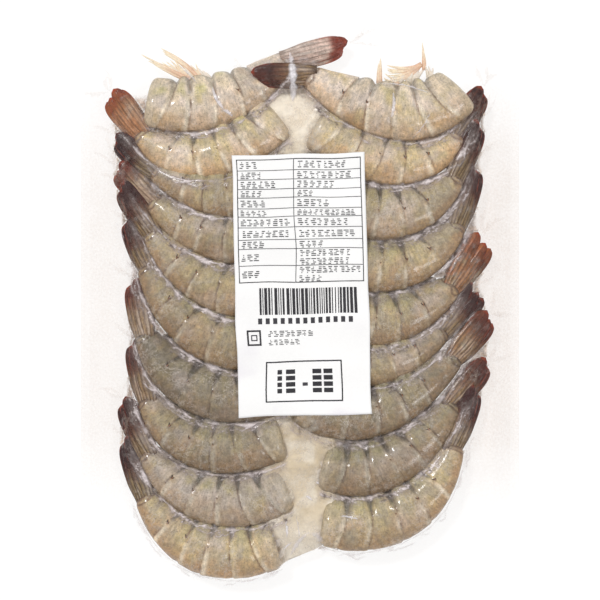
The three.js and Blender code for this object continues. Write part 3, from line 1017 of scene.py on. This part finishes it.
def food_heights(tree, x, y, from_above):
    """Where a ray straight down, or straight up, first meets the food; not a number elsewhere."""
    start, way = (ABOVE_ALL, Vector((0, 0, -1))) if from_above else (BELOW_ALL, Vector((0, 0, 1)))
    heights = np.full(x.size, np.nan)
    for i, (px, py) in enumerate(zip(x.ravel(), y.ravel())):
        hit = tree.ray_cast(Vector((px, py, start)), way)[0]
        if hit is not None:
            heights[i] = hit.z
    return heights.reshape(x.shape)


def margin_folds(tails):
    """Soft folds outward from the tips of the fans: start, heading, length, width and height."""
    draw = np.random.default_rng(7)
    folds = []
    for tail in tails:
        for _ in range(3):
            heading = turned(tail.fan_way, draw.uniform(-0.9, 0.9))
            sizes = (draw.uniform(7, 15), draw.uniform(0.8, 1.6), draw.uniform(0.3, 0.8))
            folds.append((tail.tip, heading, *sizes))
    return folds


def fold_heights(folds, x, y):
    heights = np.zeros_like(x)
    for start, heading, length, width, height in folds:
        across = (x - start[0]) * -heading[1] + (y - start[1]) * heading[0]
        along = (x - start[0]) * heading[0] + (y - start[1]) * heading[1]
        body = smooth(-2, 1, along) * smooth(length, 0.3 * length, along)
        heights += height * bell(across, width * (0.6 + 0.05 * np.abs(along))) * body
    return heights


def film_look(x, y, bare, span, fleck, cloud):
    """How milky the upper film is and its colour: by the valleys that it spans, and its flecks."""
    near = blurred((~bare).astype(float), 6)
    bridge = smooth(0.2, 1.2, span) * near ** 2 * smooth(88, 72, np.abs(x))
    middle = smooth(13, 5, np.abs(x)) * smooth(92, 84, y)
    middle *= smooth(0.35, 0.65, 0.6 * cloud + 0.4 * fleck)
    haze = smooth(0.58, 0.75, fleck) * smooth(0.5, 0.7, cloud)
    closed = drawn_tight(np.where(bare, 0.0, WALL), FILM_STEP, GAP_RADIUS)
    enclosed = smooth(WALL - 4, WALL - 1, closed) * bare * smooth(94, 88, y)
    milk = 0.02 + bridge * (0.06 + 0.22 * smooth(0.42, 0.62, fleck)) + 0.15 * haze + 0.45 * middle
    margin = margin_milk(x, y) * (0.7 + 0.6 * cloud) * (1 - 0.3 * seal_share(x, y))
    milk = np.maximum(np.where(bare, margin, milk), enclosed * (0.6 + 0.5 * fleck))
    colour = layered(
        np.tile(FILM_CLEAR, (x.size, 1)),
        (FILM_DULL, bridge.ravel()),
        (FILM_WHITE, (bridge * smooth(0.5, 0.7, fleck)).ravel()),
        (GLAZE_WHITE, middle.ravel()),
        (FILM_MARGIN, smooth(0.8, 0.3, near.ravel())),
        # Frozen water and film in the small gaps between tails, darkened by painted shade.
        (GAP_ICE_AND_SHADE, (enclosed * smooth(0.75, 0.45, fleck)).ravel()),
    )
    return np.clip(milk, 0, 0.95).ravel(), colour


def pouch_top(tree, folds, material):
    """The upper film, drawn tight over the food, with creased margins and its seals."""
    x, y = plan_grid(FILM_STEP)
    plan = places(x, y, 0)
    swell, cloud, fleck = (rough(plan, size, seed).reshape(x.shape)
                           for size, seed in ((26, 61), (8, 62), (2.0, 63)))
    folded = (swell - 0.5) * 1.6 + fold_heights(folds, x, y)
    margin = sheet_height(x, y) + folded * (1 - seal_share(x, y))
    food = food_heights(tree, x, y, True)
    bare = np.isnan(food)
    heights = np.where(bare, margin, np.maximum(np.nan_to_num(food), margin - 1.0))
    tight = drawn_tight(heights, FILM_STEP, FILM_RADIUS)
    milk, colour = film_look(x, y, bare, tight - heights, fleck, cloud)
    tight = np.maximum(blurred(tight, 1), heights) + FILM_OFFSET
    points, faces = places(x, y, tight), sheet_faces(*x.shape)
    piece = make_single("pouch_top_film", material, points, faces, colour, milk=milk)
    return piece, HeightMap(x, y, tight)


def pouch_bottom(tree, material):
    """The lower film, flat where the pack rests."""
    x, y = plan_grid(UNDER_STEP)
    food = food_heights(tree, x, y, False)
    margin = sheet_height(x, y)
    lowered = np.minimum(np.nan_to_num(food), margin + 1.0)
    heights = np.where(np.isnan(food), margin, lowered)
    tight = -drawn_tight(-heights, UNDER_STEP, FILM_RADIUS * 3)
    points = places(x, y, np.maximum(tight - FILM_OFFSET, 0.08))
    faces = sheet_faces(*x.shape)[:, ::-1]
    milk = 0.7 * margin_milk(x, y).ravel()
    return make_single("pouch_bottom_film", material, points, faces, FILM_MARGIN, milk=milk)


def back_edge(tail, rows):
    """The edge of a back and on along its fan: places, ways outward, and millimetres so far."""
    line, way, _ = tail.line(rows)
    out = leftward(way)[:, :2] * tail.back_side
    edge = line[:, :2] + out * column(tail.half_depth(np.linspace(0, 1, rows)))
    share = np.linspace(0.06, 0.55, rows // 4)
    fan = tail.root + (tail.tip - tail.root) * column(share)
    fan = fan + out[-1] * column(mix(FAN_ROOT_DEPTH / 2, 4.0, share))
    edge = np.vstack([edge, fan])
    out = np.vstack([out, np.tile(out[-1], (len(fan), 1))])
    return edge, out, travelled(edge)


def add_valley(surface, film, tail, seed):
    """A strip of wrinkled film beside a back, where it dives toward the next tail: painted
    highlights and shade.
    """
    rows, reach = 140, np.linspace(-1.6, 6.4, 18)
    edge, out, so_far = back_edge(tail, rows)
    s, o = grid_of(so_far, reach)
    edge, out = (np.repeat(part, len(reach), axis=0) for part in (edge, out))
    x, y = (edge + out * column(o)).T
    track, flat = places(s, 0, 0), places(s, o, 0)
    drawn_out = flat * (0.5, 1, 1)

    beside_body = 1 - smooth(so_far[rows - 1] - 4, so_far[rows - 1] + 2, s)
    sway = 2.4 * (rough(track, 7, seed) - 0.5)
    # Painted highlights: a white line where the film leaves the back, a fainter second one, and
    # white ridges.
    line = bell(o - 0.8 - sway, 0.25 + 1.3 * noise(track, 3, seed + 1) ** 2)
    line *= 0.35 + 0.65 * smooth(0.3, 0.6, rough(track, 5, seed + 2))
    line *= 0.4 + 0.6 * beside_body
    second = bell(o - 2.6 - 4 * (rough(track, 6, seed + 3) - 0.5), 0.4)
    second *= smooth(0.5, 0.7, noise(track, 5, seed + 4))
    zone = smooth(-0.8, 0.3, o) * smooth(6.2, 2.0, o) * (0.5 + 0.5 * beside_body)
    zone *= 0.04 if tail.name in LOW_TAILS else 1.0
    crumple = smooth(0.35, 0.65, noise(drawn_out, 4, seed + 9))
    ridges = veins(drawn_out, 1.7, seed + 5) * zone * crumple
    # Painted shade: dark veins where the crumpled film dips.
    dark = veins(drawn_out, 2.4, seed + 6) * zone * smooth(0.45, 0.65, noise(flat, 5, seed + 7))
    white = (0.9 * line + 0.5 * second + 0.8 * ridges) * (0.55 + 0.9 * rough(flat, 1.2, seed + 10))
    white = np.clip(white, 0, 1)
    milk = 0.65 * white + zone * (0.08 + 0.4 * rough(flat, 1.6, seed + 8) * crumple)
    ends = smooth(0, 4, s) * smooth(so_far[-1], so_far[-1] - 12, s)
    ends *= smooth(-1.6, -1.0, o) * smooth(6.4, 5.4, o)

    points = places(x, y, film.at(x, y) + 0.06 + 0.3 * white * ends)
    colour = layered(np.tile(FILM_DULL, (len(s), 1)), (VALLEY_PAINTED_HIGHLIGHT, white), (VALLEY_PAINTED_SHADE, dark))
    milk = np.clip(milk + 0.35 * dark, 0, 0.9) * ends
    surface.add(points, sheet_faces(len(so_far), len(reach)), colour, milk=milk)


def film_valleys(tails, film, material):
    surface = Surface()
    for number, tail in enumerate(tails):
        add_valley(surface, film, tail, 500 + 11 * number)
    return make_piece("pouch_valleys", surface, material)


def add_crease(surface, film, first, last, bend, half_width, strength, colour):
    """A soft line on the film: clear at its edges and both ends, and milky along its middle."""
    first, last = np.array(first, float), np.array(last, float)
    t = np.linspace(0, 1, 26)
    side = left_of(unit(last - first))[:2]
    ragged = noise(places(t * 14, first[0], first[1]), 1.0, 5)
    swerve = bend * np.sin(t * math.pi) + 0.5 * (ragged - 0.5)
    path = first + (last - first) * column(t) + side * column(swerve)
    width = half_width * (0.5 + 0.8 * ragged) * np.sqrt(np.sin(t * math.pi) + 0.02)
    across = np.array((-1, -0.35, 0.35, 1))
    x, y = (path[:, None, :] + side * (column(width) * across)[..., None]).reshape(-1, 2).T
    points = places(x, y, film.at(x, y) + np.tile((0.1, 0.38, 0.38, 0.1), len(t)))
    along = strength * np.sin(t * math.pi) ** 0.4 * (0.6 + 0.4 * ragged)
    milk = np.outer(along, (0, 1, 1, 0)).ravel()
    surface.add(points, sheet_faces(len(t), 4), colour, milk=milk)


def film_creases(film, folds, material):
    """The white creases over the food as painted highlights, and the soft folds of the margins as
    painted shade.
    """
    surface = Surface()
    for crease in CREASES:
        add_crease(surface, film, *crease, CREASE_PAINTED_HIGHLIGHT)
    draw = np.random.default_rng(23)
    # Painted shade: each fold of the margins drawn as a faint darker line.
    for start, heading, length, width, _ in folds:
        end, bend = start + heading * length, draw.uniform(-2, 2)
        add_crease(surface, film, start, end, bend, width, 0.16, FOLD_PAINTED_SHADE)
    return make_piece("pouch_creases", surface, material)


# ---- Label

PAPER = srgb(252, 251, 250)
PAPER_SHADE = srgb(234, 229, 235)
INK = srgb(34, 32, 38)
INK_GREY = srgb(52, 50, 56)


class Drape:
    """Places in the label's own frame, laid on the pack."""

    def __init__(self, film):
        heights = blurred(drawn_tight(film.heights, FILM_STEP, PAPER_RADIUS), 20) + PAPER_LIFT
        self.film = HeightMap(film.x, film.y, heights)
        self.centre = sum(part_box("label"), Vector()) / 2 / MM

    def place(self, across, along):
        flat = places(across, along, 0)
        across = across + 0.9 * (noise(flat, 16, 81) - 0.5)
        along = along + 0.9 * (noise(flat, 16, 82) - 0.5)
        x = self.centre.x + across * math.cos(LABEL_TURN) - along * math.sin(LABEL_TURN)
        y = self.centre.y + across * math.sin(LABEL_TURN) + along * math.cos(LABEL_TURN)
        return places(x, y, self.film.at(x, y))


def label_sheet(drape, material):
    rows, columns = 118, 60
    along, across = grid_of(np.linspace(-LABEL_LENGTH / 2, LABEL_LENGTH / 2, rows),
                            np.linspace(-LABEL_WIDTH / 2, LABEL_WIDTH / 2, columns))
    top = drape.place(across, along)
    points = np.concatenate([top, top - np.array((0, 0, PAPER_THICKNESS))])
    shade = smooth(0.45, 0.7, rough(top * (1, 1, 0), 22, 71)) * smooth(0, -50, along)
    colour = np.tile(mix(PAPER, PAPER_SHADE, column(shade * 0.7)), (2, 1))
    faces = outward(points, slab_faces(rows, columns))
    return make_single("label_sheet", material, points, faces, colour)


class Print:
    """Printed marks on the label, gathered into one surface."""

    def __init__(self, drape):
        self.surface = Surface()
        self.drape = drape
        self.draw = np.random.default_rng(11)

    def block(self, left, bottom, width, height, colour=INK):
        """A printed rectangle, bent with the label."""
        columns, rows = (max(2, int(math.ceil(size / 1.5)) + 1) for size in (width, height))
        along, across = grid_of(np.linspace(bottom, bottom + height, rows),
                                np.linspace(left, left + width, columns))
        points = self.drape.place(across, along)
        points[:, 2] += INK_LIFT
        self.surface.add(points, sheet_faces(rows, columns), colour)

    def frame(self, left, bottom, width, height, line, colour=INK):
        for level in (bottom, bottom + height - line):
            self.block(left, level, width, line, colour)
        for side in (left, left + width - line):
            self.block(side, bottom, line, height, colour)

    def marks(self, left, bottom, reach, size):
        """A row of square stacks of short dashes, as high as small print."""
        for start in np.arange(left, left + reach - 0.7 * size, 0.94 * size):
            for level in DASH_LEVELS:
                inset = size * self.draw.choice((0.0, 0.1, 0.3))
                dash = size * self.draw.choice((0.45, 0.62, 0.78)) - inset
                self.block(start + inset, bottom + level * size, dash, size * DASH_HEIGHT)


def print_table(ink):
    """A ruled table of two columns with a row of marks in each cell."""
    width = TABLE_RIGHT - TABLE_LEFT
    height = sum(row[0] for row in TABLE_ROWS)
    ink.frame(TABLE_LEFT, TABLE_TOP - height, width, height, 0.4)
    ink.block(TABLE_DIVIDER, TABLE_TOP - height, 0.32, height, INK_GREY)
    level = TABLE_TOP
    for row, left_reach, right_reaches in TABLE_ROWS:
        level -= row
        ink.block(TABLE_LEFT, level, width, 0.3, INK_GREY)
        size = min(3.0, row - 1.2)
        ink.marks(TABLE_LEFT + 1.4, level + (row - size) / 2, left_reach, size)
        gap = row / len(right_reaches)
        size = min(size, gap - 1.0)
        for line, reach in enumerate(right_reaches):
            ink.marks(TABLE_DIVIDER + 1.8, level + line * gap + (gap - size) / 2, reach, size)


def print_bars(ink):
    """A generic group of upright bars over a row of ticks."""
    left, right, bottom, height = -18.8, 24.2, -12.9, 11.6
    while left < right:
        bar = ink.draw.choice((0.4, 0.45, 0.9, 1.3))
        ink.block(left, bottom, bar, height)
        left += bar + ink.draw.choice((0.45, 0.5, 0.9))
    for number in range(13):
        ink.block(-19.6 + 3.35 * number, bottom - 4.1, 1.8, 2.6, INK_GREY)


def print_icon(ink):
    """A small square ring with two rows of marks beside it."""
    ink.frame(-24.9, -26.8, 6.3, 7.2, 0.8)
    ink.frame(-23.1, -24.6, 2.8, 2.8, 0.5, INK_GREY)
    ink.marks(-15.4, -22.8, 20, 2.7)
    ink.marks(-15.4, -26.7, 15, 2.5)


def print_grade(ink):
    """A framed box with stacks of thick strokes on both sides of a dash."""
    ink.frame(-17.0, -52.4, 34.0, 18.2, 0.6)
    for left, width in ((-11.8, 2.0), (-8.1, 4.0), (3.6, 4.0), (8.6, 4.0)):
        for level in range(4):
            ink.block(left, -48.4 + 2.8 * level, width, 2.0)
    ink.block(-0.9, -45.4, 2.3, 1.5, INK_GREY)


def label_print(drape, material):
    ink = Print(drape)
    for part in (print_table, print_bars, print_icon, print_grade):
        part(ink)
    return make_piece("label_print", ink.surface, material)


# ---- Stage

PHOTO_WIDTH = 271.0  # how much the photograph shows across, at the middle of the pack
LENS, SENSOR = 100.0, 36.0


def floor():
    """A plain white surface that glows a little, so that shadows on it stay pale."""
    half = 3.0
    corners = [(-half, -half, 0), (half, -half, 0), (half, half, 0), (-half, half, 0)]
    mesh = bpy.data.meshes.new("floor")
    mesh.from_pydata(corners, [], [(0, 1, 2, 3)])
    finish = Finish("floor", 0.9)
    finish.colour((0.22, 0.22, 0.22, 1))
    finish.feed(finish.shader, {"Emission Color": (1, 1, 1, 1), "Emission Strength": 0.83})
    mesh.materials.append(finish.material)
    plane = put("floor", mesh)


def sun(name, strength, width, place):
    """A far lamp whose light comes from a place toward the middle."""
    light = bpy.data.lights.new(name, "SUN")
    light.energy = strength
    light.angle = math.radians(width)
    lamp = put(name, light)
    lamp.rotation_euler = (-Vector(place)).to_track_quat("-Z", "Y").to_euler()


def studio():
    """Soft, even light: a pale surround and two lamps above."""
    world = bpy.data.worlds.new("studio")
    world.use_nodes = True
    background = world.node_tree.nodes["Background"]
    background.inputs["Color"].default_value = (1, 1, 1, 1)
    background.inputs["Strength"].default_value = 0.56
    bpy.context.scene.world = world
    sun("key", 1.3, 8, (-0.45, 0.6, 1.0))
    sun("fill", 0.5, 14, (0.5, -0.2, 1.0))
    bpy.context.scene.view_settings.view_transform = "Standard"


def camera():
    optics = bpy.data.cameras.new("camera")
    optics.lens = LENS
    optics.sensor_width = SENSOR
    view = put("camera", optics)
    distance = PHOTO_WIDTH * MM * LENS / SENSOR
    view.location = (0, 0, distance + BODY_HEIGHT * MM)
    bpy.context.scene.camera = view


# ---- The whole pack

def build_food(tails):
    shell = shell_finish("shrimp_shell", 0.6, 0.16, 0.4, 0.5)
    fan_shell = shell_finish("fan_shell", 0.1, 0.24, 0.15, 0.15)
    leg_shell = plain_finish("leg_shell", 0.4, 1300, 0.1, 0.0002, coat=0.2)
    ice = plain_finish("frozen_glaze", 0.3, 420, 0.05, 0.0006, coat=0.4)
    food = [standing_legs(leg_shell), glaze(ice)]
    for number, tail in enumerate(tails):
        food.append(tail_body(tail, 100 + 17 * number, shell))
        food.append(tail_fan(tail, 300 + 13 * number, fan_shell))
        if not tail.open_belly:
            food.append(belly_legs(tail, 200 + 11 * number, leg_shell))
    return food


def build_pouch(food, tails):
    """The four pieces of film, and the height of the upper one."""
    tree, folds, film = food_tree(food), margin_folds(tails), film_finish()
    top, heights = pouch_top(tree, folds, film)
    bottom = pouch_bottom(tree, film)
    wrinkles = film_valleys(tails, heights, film), film_creases(heights, folds, film)
    return (top, bottom, *wrinkles), heights


def build_label(heights):
    drape = Drape(heights)
    paper = plain_finish("label_paper", 0.45, 900, 0.012, 0.00003)
    ink = plain_finish("label_ink", 0.5, 2500, 0.2, 0.00001)
    return label_sheet(drape, paper), label_print(drape, ink)


def build():
    tails = [Tail(name) for name in LAYOUT]
    food = build_food(tails)
    pouch, heights = build_pouch(food, tails)
    for piece in (*food, *pouch):
        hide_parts("pack")
    for piece in build_label(heights):
        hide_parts("label")


build()
floor()
studio()
camera()
